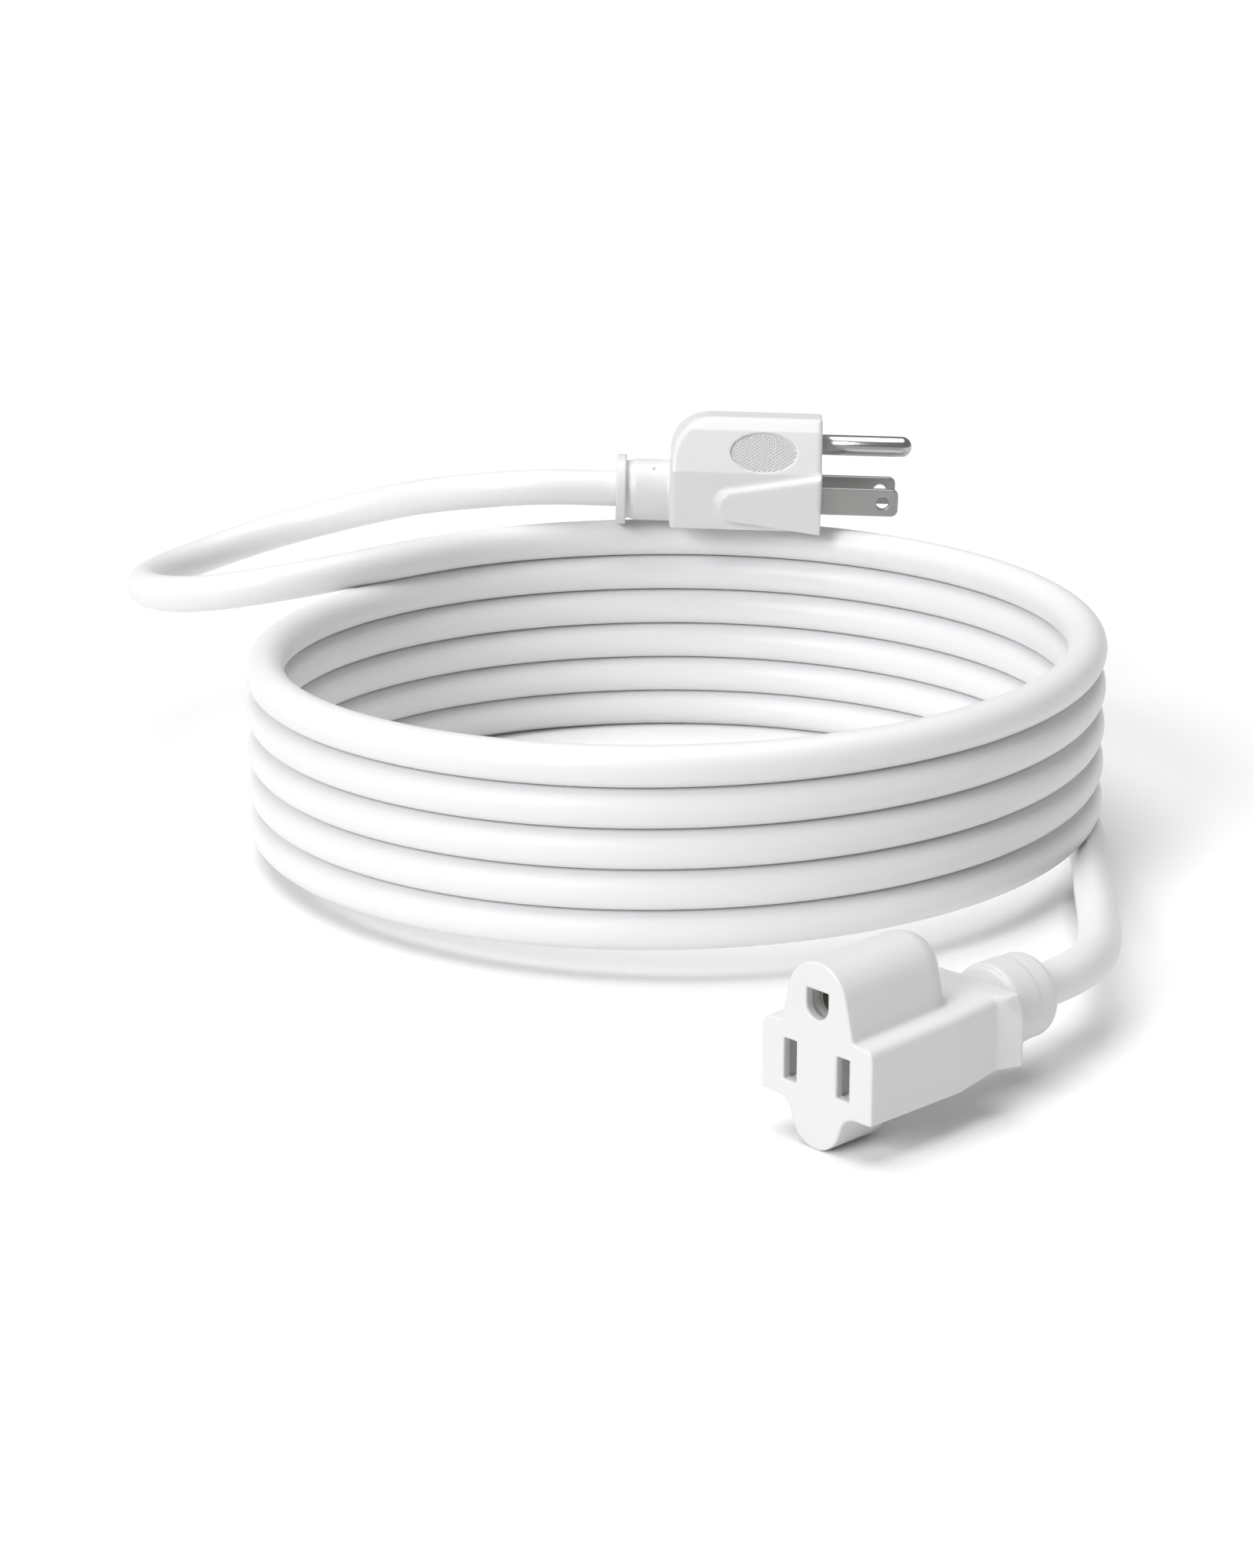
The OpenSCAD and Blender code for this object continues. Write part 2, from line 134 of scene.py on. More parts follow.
def mesh_object(name, points, faces, matrix=None, smooth=True):
    """Mesh of the points, in metres, placed by the matrix."""
    mesh = bpy.data.meshes.new(name)
    mesh.from_pydata([tuple(p) for p in points], [], [tuple(f) for f in faces])
    mesh.validate()
    if smooth:
        mesh.shade_smooth()
    else:
        mesh.shade_flat()
    obj = new_object(name, mesh)
    if matrix is not None:
        obj.matrix_world = matrix
    bpy.context.view_layer.update()
    return obj


def ring_faces(rings, sides):
    """Four-sided faces that join each ring to the next."""
    faces = []
    for i in range(rings - 1):
        for k in range(sides):
            a, b = i * sides + k, i * sides + (k + 1) % sides
            faces.append((a, b, b + sides, a + sides))
    return faces


def weld(obj):
    """Join the points that lie in one place, and turn all faces outwards."""
    mesh = bmesh.new()
    mesh.from_mesh(obj.data)
    bmesh.ops.remove_doubles(mesh, verts=mesh.verts, dist=1e-7)
    bmesh.ops.recalc_face_normals(mesh, faces=mesh.faces)
    mesh.to_mesh(obj.data)
    mesh.free()


def on_axis(matrix, x):
    """Place on the X axis of an end's own frame, x in mm."""
    return tuple(matrix @ Vector((x * MM, 0, 0)))


def smoothstep(t):
    """From 0 to 1 as t goes from 0 to 1, level at both ends."""
    t = np.clip(t, 0, 1)
    return t * t * (3 - 2 * t)


# ---- camera, as fitted to the photograph ----

CAMERA_AT = Vector((0.5689, -0.5503, 0.2617))
CAMERA_HEADING, CAMERA_PITCH = math.radians(136.7), math.radians(-17.5)
LENS = 88
CLIP = (0.05, 30)


def make_camera():
    data = bpy.data.cameras.new("camera")
    camera = new_object("camera", data)
    data.lens = LENS
    data.clip_start, data.clip_end = CLIP
    level = math.cos(CAMERA_PITCH)
    east, north = math.cos(CAMERA_HEADING), math.sin(CAMERA_HEADING)
    ahead = Vector((east * level, north * level, math.sin(CAMERA_PITCH)))
    aim(camera, CAMERA_AT, CAMERA_AT + ahead)
    bpy.context.scene.camera = camera


# ---- cord ----

def coil_points():
    """Middle of the cord along the coil: flat turns that each climb one diameter."""
    count = round(COIL_SWEEP / COIL_STEP)
    swept = np.linspace(0, COIL_SWEEP, count + 1)
    turn = np.floor(swept / 360 + 1e-9)
    part = np.clip((swept - 360 * turn - CLIMB_FROM) / (CLIMB_TO - CLIMB_FROM), 0, 1)
    climb = (part + smoothstep(part)) / 2
    angle = np.radians(COIL_START + swept)
    height = CORD_R + CORD_D * (turn + climb)
    return np.column_stack([COIL_R * np.cos(angle), COIL_R * np.sin(angle), height])


def route():
    """The whole cord from inside the connector, round the coil, to inside the plug."""
    into_connector = [on_axis(CONNECTOR_MATRIX, x) for x in (CORD_GRIP - CONNECTOR_LEN, -CONNECTOR_LEN)]
    into_plug = [on_axis(PLUG_MATRIX, x + FLANGE_X) for x in (-PLUG_RUN_IN, 0, CORD_GRIP)]
    lead_in = into_connector + CONNECTOR_ROUTE[:0:-1]
    return np.array(lead_in + [tuple(p) for p in coil_points()] + PLUG_ROUTE[1:] + into_plug)


def rounded(points, per_span=16):
    """A centripetal Catmull-Rom curve through the points."""
    ends = [2 * points[0] - points[1]], [2 * points[-1] - points[-2]]
    p = np.concatenate([ends[0], points, ends[1]])
    out = []
    for p0, p1, p2, p3 in zip(p, p[1:], p[2:], p[3:]):
        t1 = np.linalg.norm(p1 - p0) ** 0.5
        t2 = t1 + np.linalg.norm(p2 - p1) ** 0.5
        t3 = t2 + np.linalg.norm(p3 - p2) ** 0.5
        t = np.linspace(t1, t2, per_span, endpoint=False)[:, None]
        a1 = ((t1 - t) * p0 + t * p1) / t1
        a2 = ((t2 - t) * p1 + (t - t1) * p2) / (t2 - t1)
        a3 = ((t3 - t) * p2 + (t - t2) * p3) / (t3 - t2)
        b1 = ((t2 - t) * a1 + t * a2) / t2
        b2 = ((t3 - t) * a2 + (t - t1) * a3) / (t3 - t1)
        out.append(((t2 - t) * b1 + (t - t1) * b2) / (t2 - t1))
    return np.concatenate(out + [points[-1:]])


def evenly(points, spacing):
    """Points at an even spacing along a line."""
    run = np.concatenate([[0], np.cumsum(np.linalg.norm(np.diff(points, axis=0), axis=1))])
    at = np.linspace(0, run[-1], round(run[-1] / spacing) + 1)
    return np.column_stack([np.interp(at, run, points[:, k]) for k in range(3)])


def relaxed(points, passes):
    """A stiff cord evens out its bends: a pass moves each point halfway to its neighbours' middle."""
    points = points.copy()
    for _ in range(passes):
        points[1:-1] = points[1:-1] / 2 + (points[:-2] + points[2:]) / 4
    return points


def cord_rings(middle, sides):
    """Points of the tube's rings, one ring after another."""
    tangent = np.gradient(middle, axis=0)
    tangent /= np.linalg.norm(tangent, axis=1)[:, None]
    side = np.cross(tangent, (0, 0, 1))
    side /= np.linalg.norm(side, axis=1)[:, None]
    up = np.cross(side, tangent)
    turn = 2 * np.pi * np.arange(sides) / sides
    ring = side[:, None] * np.cos(turn)[None, :, None] + up[:, None] * np.sin(turn)[None, :, None]
    return (middle[:, None] + CORD_R * ring).reshape(-1, 3)


def make_cord():
    """Round tube with a flat cap at each end; returns it with its middle line and its length."""
    middle = relaxed(evenly(rounded(route()), RING_SPACING), STIFFENING)
    faces = ring_faces(len(middle), CORD_SIDES)
    first_of_last = (len(middle) - 1) * CORD_SIDES
    faces.append(tuple(range(CORD_SIDES - 1, -1, -1)))
    faces.append(tuple(first_of_last + k for k in range(CORD_SIDES)))
    cord = mesh_object("cord", cord_rings(middle, CORD_SIDES), faces)
    length = float(np.linalg.norm(np.diff(middle, axis=0), axis=1).sum())
    return cord, middle, length


# ---- solids from distance fields, in mm ----

def join(a, b, fillet):
    """Union of two distances, with a fillet of about that radius."""
    h = np.maximum(fillet - np.abs(a - b), 0)
    return np.minimum(a, b) - h * h / (4 * fillet)


def common(a, b, edge):
    """What two distances share, with the edge between them rounded over about that radius."""
    return -join(-a, -b, edge)


def cut(a, b, edge):
    """a without b, with the edge between them rounded over about that radius."""
    return common(a, -b, edge)


def capped(section, beyond, edge):
    """A section that stops where beyond is zero, with its end edge rounded to that radius."""
    u, v = section + edge, beyond + edge
    return np.minimum(np.maximum(u, v), 0) + np.hypot(np.maximum(u, 0), np.maximum(v, 0)) - edge


def outline_distance(u, v, outline):
    """Distance to a closed outline, negative inside."""
    nearest = np.full(np.shape(u), np.inf)
    inside = np.zeros(np.shape(u), bool)
    for (ax, ay), (bx, by) in zip(outline, outline[1:] + outline[:1]):
        ex, ey = bx - ax, by - ay
        wx, wy = u - ax, v - ay
        t = np.clip((wx * ex + wy * ey) / (ex * ex + ey * ey), 0, 1)
        nearest = np.minimum(nearest, (wx - ex * t) ** 2 + (wy - ey * t) ** 2)
        left = wx * ey < wy * ex if ey > 0 else wx * ey > wy * ex
        inside ^= ((ay <= v) != (by <= v)) & left
    return np.where(inside, -1, 1) * np.sqrt(nearest)


def inset(outline, r):
    """The outline, counter-clockwise, moved inwards by r."""
    out = []
    for p, q, s in zip(outline[-1:] + outline[:-1], outline, outline[1:] + outline[:1]):
        a, b = Vector(q) - Vector(p), Vector(s) - Vector(q)
        na, nb = Vector((-a.y, a.x)).normalized(), Vector((-b.y, b.x)).normalized()
        move = (na + nb) * (r / (1 + na.dot(nb)))
        out.append((q[0] + move.x, q[1] + move.y))
    return out


def rounded_outline(u, v, outline, edge):
    """Distance to the outline with its corners rounded."""
    return outline_distance(u, v, inset(outline, edge)) - edge


def arc(cx, cy, r, a0, a1, steps):
    """Points of an arc from angle a0 to a1, in degrees."""
    angles = np.radians(np.linspace(a0, a1, steps + 1))
    return [(cx + r * math.cos(a), cy + r * math.sin(a)) for a in angles]


def box_distance(x, y, z, low, high):
    """Box between two corners."""
    parts = [np.abs(p - (lo + hi) / 2) - (hi - lo) / 2 for p, lo, hi in zip((x, y, z), low, high)]
    outside = np.sqrt(sum(np.maximum(p, 0) ** 2 for p in parts))
    return outside + np.minimum(np.maximum(np.maximum(*parts[:2]), parts[2]), 0)


def rod_distance(x, y, z, r, x0, x1, rise=0.0, edge=0.0):
    """Rod along X, at a height above the axis, with its ends rounded to radius edge."""
    radial = np.hypot(y, z - rise) - r
    beyond = np.abs(x - (x0 + x1) / 2) - (x1 - x0) / 2
    return capped(radial, beyond, edge)


UNITS = np.eye(3, dtype=int)  # one step of a grid along each axis


def surface_cells(inside):
    """Grid cells that the surface passes through, and each cell's number among them."""
    corners = [(i, j, k) for i in (0, 1) for j in (0, 1) for k in (0, 1)]
    shape = np.array(inside.shape) - 1
    count = sum(inside[i:shape[0] + i, j:shape[1] + j, k:shape[2] + k].astype(int) for i, j, k in corners)
    cells = np.argwhere((count > 0) & (count < len(corners)))
    number = np.full(shape, -1)
    number[tuple(cells.T)] = np.arange(len(cells))
    return cells, number


def cell_middles(field, cells):
    """Middle of the places where the surface crosses each cell's edges, in steps of the grid."""
    total, hits = np.zeros((len(cells), 3)), np.zeros(len(cells))
    for axis in range(3):
        u, v = UNITS[(axis + 1) % 3], UNITS[(axis + 2) % 3]
        for shift in (0 * u, u, v, u + v):
            start = cells + shift
            f0, f1 = field[tuple(start.T)], field[tuple((start + UNITS[axis]).T)]
            crosses = (f0 < 0) != (f1 < 0)
            t = f0[crosses] / (f0[crosses] - f1[crosses])
            total[crosses] += start[crosses] + t[:, None] * UNITS[axis]
            hits[crosses] += 1
    return total / hits[:, None]


def cell_faces(inside, number):
    """A four-sided face around each grid edge that the surface crosses, facing outwards."""
    faces = []
    for axis in range(3):
        u, v = (axis + 1) % 3, (axis + 2) % 3
        low_side = inside[tuple(slice(0, -1) if k == axis else slice(None) for k in range(3))]
        high_side = inside[tuple(slice(1, None) if k == axis else slice(None) for k in range(3))]
        edges = np.argwhere(low_side != high_side)
        edges = edges[(edges[:, u] > 0) & (edges[:, v] > 0)]
        around = [edges - du * UNITS[u] - dv * UNITS[v] for du, dv in ((1, 1), (0, 1), (0, 0), (1, 0))]
        quads = np.column_stack([number[tuple(c.T)] for c in around])
        outwards = low_side[tuple(edges.T)]
        faces.append(np.where(outwards[:, None], quads, quads[:, ::-1]))
    return np.concatenate(faces).tolist()


def surface(name, distance, low, high, step, matrix):
    """Closed mesh, in metres, of the surface where distance is zero; distance and step are in mm."""
    axes = [np.arange(lo, hi + step, step) for lo, hi in zip(low, high)]
    field = distance(*np.meshgrid(*axes, indexing="ij"))
    cells, number = surface_cells(field < 0)
    points = np.array([a[0] for a in axes]) + step * cell_middles(field, cells)
    points = settled(points, distance, step)
    return mesh_object(name, points * MM, cell_faces(field < 0, number), matrix)


def settled(points, distance, step, passes=3):
    """The points moved onto the zero surface along its gradient."""
    small, least_slope = 0.02, 0.25
    for _ in range(passes):
        value = distance(*points.T)
        slope = np.column_stack([
            (distance(*(points + small * unit).T) - distance(*(points - small * unit).T)) / (2 * small)
            for unit in UNITS
        ])
        move = value[:, None] * slope / np.maximum((slope ** 2).sum(1), least_slope)[:, None]
        points = points - np.clip(move, -step / 2, step / 2)
    return points


# ---- plug, in mm ----

BLADE_Y = 6.35
BLADE_T, BLADE_HALF_H, BLADE_LEN, BLADE_BACK = 1.5, 3.175, 18.0, -14.0
BLADE_CORNER_R, BLADE_HOLE_X, BLADE_HOLE_R = 1.6, 14.4, 1.5
CRIMP_X, CRIMP_R, CRIMP_MOUTH_R = -19.0, 1.7, 1.21
GROUND_RISE, GROUND_R, GROUND_LEN = 11.9, 2.375, 21.0
NECK_R = 2.1
RIDGE_H = 18.9
PLUG_HALF_W, WEDGE_HALF_W = 10.8, 12.5
SHOULDER = (6.3, 16.0)
CROWN_HALF_W = 3.2
TAIL_R = 10.0
WEDGE_TAIL = (-20.5, -0.6)
WEDGE_TAIL_R = 3.6
PAD_CENTRE_X = -13.6
PAD_HALF_L, PAD_HALF_H, PAD_DEPTH = 7.7, 4.7, 0.6
POINT_PITCH_L, POINT_PITCH_H, POINT_H = 1.1, 0.8, 0.46
BRIDGE = ((-14, -9.3, -5), (-2, 9.3, 5.2))
BRIDGE_TOWER = ((-14, -4.2, 5.1), (-2, 4.2, 15.8))
PLAY = 0.05
DIMPLE_AT, DIMPLE_R = (-38.6, 4, 5.9), 0.5

SLOPE_LOW = Vector((PLUG_HALF_W, SIDE_HALF_H))
SLOPE_UP = (Vector(SHOULDER) - SLOPE_LOW).normalized()
SLOPE_OUT = Vector((SLOPE_UP.y, -SLOPE_UP.x))
PAD_MIDDLE = (SLOPE_LOW + Vector(SHOULDER)) / 2


def house_outline():
    """The body seen from its face: straight sides, sloped sides and a narrow crown."""
    right = [(PLUG_HALF_W, -SIDE_HALF_H), (PLUG_HALF_W, SIDE_HALF_H), SHOULDER, (CROWN_HALF_W, RIDGE_H)]
    return right + [(-y, z) for y, z in right[::-1]]


def tail_outline():
    """The body seen from its side, rounded at its rear top."""
    return [
        (0.0, -SIDE_HALF_H), (0.0, RIDGE_H),
        *arc(TAIL_R - PLUG_LEN, RIDGE_H - TAIL_R, TAIL_R, 90, 180, 12),
        (-PLUG_LEN, -SIDE_HALF_H),
    ]


def wedge_outline():
    """A finger wedge seen from its side, with a round tail."""
    return [(0.0, -SIDE_HALF_H), (0.0, SIDE_HALF_H - 0.4), *arc(*WEDGE_TAIL, WEDGE_TAIL_R, 106, 261, 12)]


def pad_place(x, y, z):
    """Place on a sloped side: along the plug, up the slope and out of it."""
    across, rise = np.abs(y) - PAD_MIDDLE.x, z - PAD_MIDDLE.y
    up, out = (across * way.x + rise * way.y for way in (SLOPE_UP, SLOPE_OUT))
    return x - PAD_CENTRE_X, up, out


def pad_recess(x, y, z):
    """Oval recess for the grip pad, in each sloped side."""
    along, up, out = pad_place(x, y, z)
    oval = (np.hypot(along / PAD_HALF_L, up / PAD_HALF_H) - 1) * PAD_HALF_H
    return common(oval, -PAD_DEPTH - out, edge=0.1)


def plug_inside(x, y, z):
    """Room for what is inside the plug; where it leads out, it runs past the surface."""
    bridge = np.minimum(box_distance(x, y, z, *BRIDGE), box_distance(x, y, z, *BRIDGE_TOWER))
    half_t, half_h = 0.8, 3.2
    low, high = (CRIMP_X, BLADE_Y - half_t, -half_h), (2, BLADE_Y + half_t, half_h)
    blades = box_distance(x, np.abs(y), z, low, high)
    pin = rod_distance(x, y, z, NECK_R, CRIMP_X, 2, rise=GROUND_RISE)
    cord = rod_distance(x, y, z, CORD_R / MM + PLAY, -60, CORD_GRIP + FLANGE_X)
    return np.minimum(np.minimum(bridge, blades), np.minimum(pin, cord))


def body_distance(x, y, z):
    """House-shaped body with a finger wedge on each side, softer at its upper edge than below."""
    section = rounded_outline(y, z, house_outline(), edge=0.5)
    profile = outline_distance(x, z, tail_outline()[::-1])
    body = common(section, profile, edge=1.5)
    softness = 1.2 * smoothstep((z + 3.5) / 4)  # none below z = -3.5, all of it above z = 0.5
    wedge = outline_distance(x, z, wedge_outline()[::-1])
    wedge = common(wedge, np.abs(y) - WEDGE_HALF_W, edge=0.25 + softness)
    return join(body, wedge, fillet=0.35 + softness)


def plug_relief_distance(x, y, z):
    """Strain relief: a round stub, narrower near its flange, and the flange."""
    narrowing = STUB_NARROWING * np.clip(2 - (x - FLANGE_X) / FLANGE_T, 0, 1)
    stub = rod_distance(x, y, z, STUB_R - narrowing, FLANGE_X + 1, 1 - PLUG_LEN)
    flange = rod_distance(x, y, z, FLANGE_R, FLANGE_X, FLANGE_X + FLANGE_T, edge=0.35)
    return stub, flange


def plug_distance(x, y, z):
    """The plug's whole moulding, hollow where the inner pieces are."""
    body = common(body_distance(x, y, z), x, edge=0.25)
    stub, flange = plug_relief_distance(x, y, z)
    body = join(join(body, stub, fillet=0.8), flange, fillet=0.15)
    body = cut(body, pad_recess(x, y, z), edge=0.12)
    off = [p - at for p, at in zip((x, np.abs(y), z), DIMPLE_AT)]
    dimple = np.sqrt(off[0] ** 2 + off[1] ** 2 + off[2] ** 2) - DIMPLE_R
    body = cut(body, dimple, edge=0.1)
    return np.maximum(body, -plug_inside(x, y, z))


def pad_plate(half_l, half_h):
    """Oval plate at the bottom of the recess: points as (along, up, out), and faces."""
    turn = np.linspace(0, 2 * math.pi, 96, endpoint=False)
    rim = [(half_l * math.cos(a), half_h * math.sin(a)) for a in turn]
    n = len(rim)
    top, under = 0.04 - PAD_DEPTH, -0.3 - PAD_DEPTH
    points = [(*p, top) for p in rim] + [(*p, under) for p in rim]
    faces = [tuple(range(n)), tuple(range(2 * n - 1, n - 1, -1))]
    faces += [(k, n + k, n + (k + 1) % n, (k + 1) % n) for k in range(n)]
    return points, faces


def point_centres(half_l, half_h):
    """Centres of the pad's points, in staggered rows that fill an oval."""
    rows = math.ceil(2 * half_h / POINT_PITCH_H)
    columns = math.ceil(half_l / POINT_PITCH_L) + 1
    for row in range(-rows, rows + 1):
        for column in range(-columns, columns + 1):
            along = (column + (row % 2) / 2) * POINT_PITCH_L
            up = row * POINT_PITCH_H / 2
            if math.hypot(along / half_l, up / half_h) <= 1:
                yield along, up


def make_pad(name, side):
    """Grip pad: a flat oval covered with small four-sided points."""
    gap, margin = 0.08, 0.3
    half_l, half_h = PAD_HALF_L - gap, PAD_HALF_H - gap
    foot = 0.02 - PAD_DEPTH
    points, faces = pad_plate(half_l, half_h)
    for along, up in point_centres(half_l - margin, half_h - margin):
        a = len(points)
        for dx, dz in ((1, 0), (0, 1), (-1, 0), (0, -1)):
            points.append((along + POINT_PITCH_L / 2 * dx, up + POINT_PITCH_H / 2 * dz, foot))
        points.append((along, up, POINT_H - PAD_DEPTH))
        faces += [(a + k, a + (k + 1) % 4, a + 4) for k in range(4)] + [(a + 3, a + 2, a + 1, a)]
    places = []
    for along, up, out in points:
        flat = PAD_MIDDLE + SLOPE_UP * up + SLOPE_OUT * out
        places.append(((PAD_CENTRE_X + along) * MM, side * flat.x * MM, flat.y * MM))
    if side > 0:
        faces = [face[::-1] for face in faces]
    return mesh_object(name, places, faces, PLUG_MATRIX, smooth=False)


def blade_outline():
    """A blade seen from its side, with round front corners."""
    return [
        (BLADE_BACK, -BLADE_HALF_H),
        *arc(BLADE_LEN - BLADE_CORNER_R, BLADE_CORNER_R - BLADE_HALF_H, BLADE_CORNER_R, 270, 360, 8),
        *arc(BLADE_LEN - BLADE_CORNER_R, BLADE_HALF_H - BLADE_CORNER_R, BLADE_CORNER_R, 0, 90, 8),
        (BLADE_BACK, BLADE_HALF_H),
    ]


def blade_distance(side):
    """A blade with its hole and its crimp; side is 1 or -1."""
    def distance(x, y, z):
        y = y - side * BLADE_Y
        plate = outline_distance(x, z, blade_outline())
        plate = capped(plate, np.abs(y) - BLADE_T / 2, edge=0.18)
        plate = cut(plate, np.hypot(x - BLADE_HOLE_X, z) - BLADE_HOLE_R, edge=0.25)
        crimp = rod_distance(x, y, z, CRIMP_R, CRIMP_X, BLADE_BACK + 0.5, edge=0.1)
        mouth = rod_distance(x, y, z, CRIMP_MOUTH_R, CRIMP_X - 1, CRIMP_X + 0.8)
        return cut(join(plate, crimp, fillet=0.5), mouth, edge=0.05)
    return distance


def make_blade(name, side):
    margin, half_w, half_h = 0.6, 2.2, 3.6
    low = (CRIMP_X - margin, side * BLADE_Y - half_w, -half_h)
    high = (BLADE_LEN + margin, side * BLADE_Y + half_w, half_h)
    return surface(name, blade_distance(side), low, high, step=0.16, matrix=PLUG_MATRIX)


def pin_profile():
    """Radius and place along the pin, from the back of its crimp to its tip."""
    tip = arc(GROUND_LEN - GROUND_R, 0, GROUND_R, 90, 0, 24)[:-1]
    return [
        (0.0, -17.0), (0.8, -17.0), (0.8, -18.2), (1.2, -18.2), (1.2, CRIMP_X), (CRIMP_R, CRIMP_X),
        (CRIMP_R, -6.0), (3.2, -6.0), (3.2, -2.0), (NECK_R, -2.0), (NECK_R, 0.0), (2.3, 0.0),
        (GROUND_R, 0.08),
        *[(r, x) for x, r in tip],
        (0.0, GROUND_LEN),
    ]


def make_pin():
    """Turned pin: necked inside the moulding, straight outside it, with a round tip."""
    profile = pin_profile()
    sides = 64
    turn = 2 * math.pi * np.arange(sides) / sides
    points = []
    for r, x in profile:
        for a in turn:
            points.append((x * MM, r * math.cos(a) * MM, (GROUND_RISE + r * math.sin(a)) * MM))
    pin = mesh_object("ground_pin", points, ring_faces(len(profile), sides), PLUG_MATRIX)
    weld(pin)
    return pin


# ---- connector, in mm ----

KEEL_DEPTH, KEEL_R, KEEL_LEN = 14.9, 5.8, 16.0
HUMP_H, HUMP_R, HUMP_LEN = 19.7, 7.0, 27.0
HUMP_FOOT = (8.6, 6.9)
HUMP_RISE, RISE_LEN = 0.6, 20.0
WING_LEN, WAIST_X, WAIST_HALF_W, WAIST_TOP = 38.5, 33.0, 12.4, 8.1
RELIEF_R, NECK_INSET, REAR_INSET = 8.15, 0.8, 0.16
RELIEF_NECK, RELIEF_REAR, RELIEF_FRONT = (-46, -37), (-CONNECTOR_LEN, -45), (-50.5, -44.5)
SLOT_HALF_W, SLOT_HALF_H = 1.55, 3.85
GROUND_SLOT_HALF_W, GROUND_SLOT_TOP = 2.65, 2.75
OPENING_DEPTH = 3.0
CARRIER = ((-24, -10.8, -5.3), (-2, 10.8, 5.3))
CARRIER_TOWER = ((-24, -4.2, 5.2), (-2, 4.2, 16))

# Half width, top and bottom of the wings, each as distances behind the face and the values there
WING_WIDTH = ((0, 22, WAIST_X, 38), (13.2, 13.2, WAIST_HALF_W, 14.2))
WING_TOP = ((0, 34, WING_LEN), (6.9, WAIST_TOP, 7.8))
WING_BOTTOM = ((0, 23.5, WAIST_X), (6.9, 6.9, 5.7))

# Which way the finger stop's facet faces: backwards, sideways and up
FACET = (-0.092, 0.962, 0.255)


def hump_outline():
    """The hump seen from the face: sloping sides under a round crown."""
    foot_y, foot_z = HUMP_FOOT
    crown = arc(0, HUMP_H - HUMP_R, HUMP_R, 8, 172, 20)
    return [(foot_y, 0.0), HUMP_FOOT, *crown, (-foot_y, foot_z), (-foot_y, 0.0)]


def stop_facet(back, side, z):
    """Sloping facet on the finger stop, from the waist's top corner down to the stop's rear edge."""
    off = back - WAIST_X, side - WAIST_HALF_W, z - WAIST_TOP
    facet = FACET[0] * off[0] + FACET[1] * off[1] + FACET[2] * off[2]
    return np.where(back > WAIST_X, facet, -1)


def wings_distance(back, side, z):
    """The wide lower body, with its waist and the finger stop behind it."""
    width, top, bottom = (np.interp(back, *line) for line in (WING_WIDTH, WING_TOP, WING_BOTTOM))
    wings = common(common(side - width, z - top, edge=2.2), -bottom - z, edge=0.5)
    wings = common(wings, stop_facet(back, side, z), edge=0.1)
    return common(wings, back - WING_LEN, edge=0.7)


def relief_distance(x, y, z):
    """Strain relief: a neck, and a barrel with a small step and a round rear edge."""
    neck = rod_distance(x, y, z, RELIEF_R - NECK_INSET, *RELIEF_NECK)
    rear = rod_distance(x, y, z, RELIEF_R - REAR_INSET, *RELIEF_REAR, edge=2.2)
    front = rod_distance(x, y, z, RELIEF_R, *RELIEF_FRONT, edge=0.5)
    return join(join(rear, front, fillet=0.1), neck, fillet=0.9)


def connector_distance(x, y, z):
    """The connector's whole moulding, hollow where the inner pieces are."""
    back, side = -x, np.abs(y)
    rise = HUMP_RISE * smoothstep(back / RISE_LEN)
    hump = capped(outline_distance(y, z - rise, hump_outline()), back - HUMP_LEN, edge=6.0)
    keel = np.hypot(y, np.maximum(-z - (KEEL_DEPTH - KEEL_R), 0)) - KEEL_R
    keel = capped(np.maximum(keel, z), back - KEEL_LEN, edge=5.5)
    body = join(wings_distance(back, side, z), hump, fillet=0.9)
    body = join(body, keel, fillet=4.2)
    body = common(body, x, edge=0.3)
    body = join(body, relief_distance(x, y, z), fillet=0.9)
    body = cut(body, openings(x, y, z), edge=0.12)
    return np.maximum(body, -connector_inside(x, y, z))


def openings(x, y, z):
    """The two blade slots and the ground hole, flat at its top."""
    low = (-OPENING_DEPTH, BLADE_Y - SLOT_HALF_W, -SLOT_HALF_H)
    high = (1, BLADE_Y + SLOT_HALF_W, SLOT_HALF_H)
    slots = box_distance(x, np.abs(y), z, low, high)
    rise = z - GROUND_RISE
    hole = np.where(rise < 0, np.hypot(y, rise), np.abs(y)) - GROUND_SLOT_HALF_W
    hole = np.maximum(hole, rise - GROUND_SLOT_TOP)
    return np.minimum(slots, np.maximum(hole, np.maximum(x - 1, -OPENING_DEPTH - x)))


def connector_inside(x, y, z):
    """Room for the contact carrier, its cap and the cord, which comes in from behind."""
    carrier = np.minimum(box_distance(x, y, z, *CARRIER), box_distance(x, y, z, *CARRIER_TOWER))
    return np.minimum(carrier, rod_distance(x, y, z, CORD_R / MM + PLAY, -70, CORD_GRIP - CONNECTOR_LEN))


# ---- materials ----

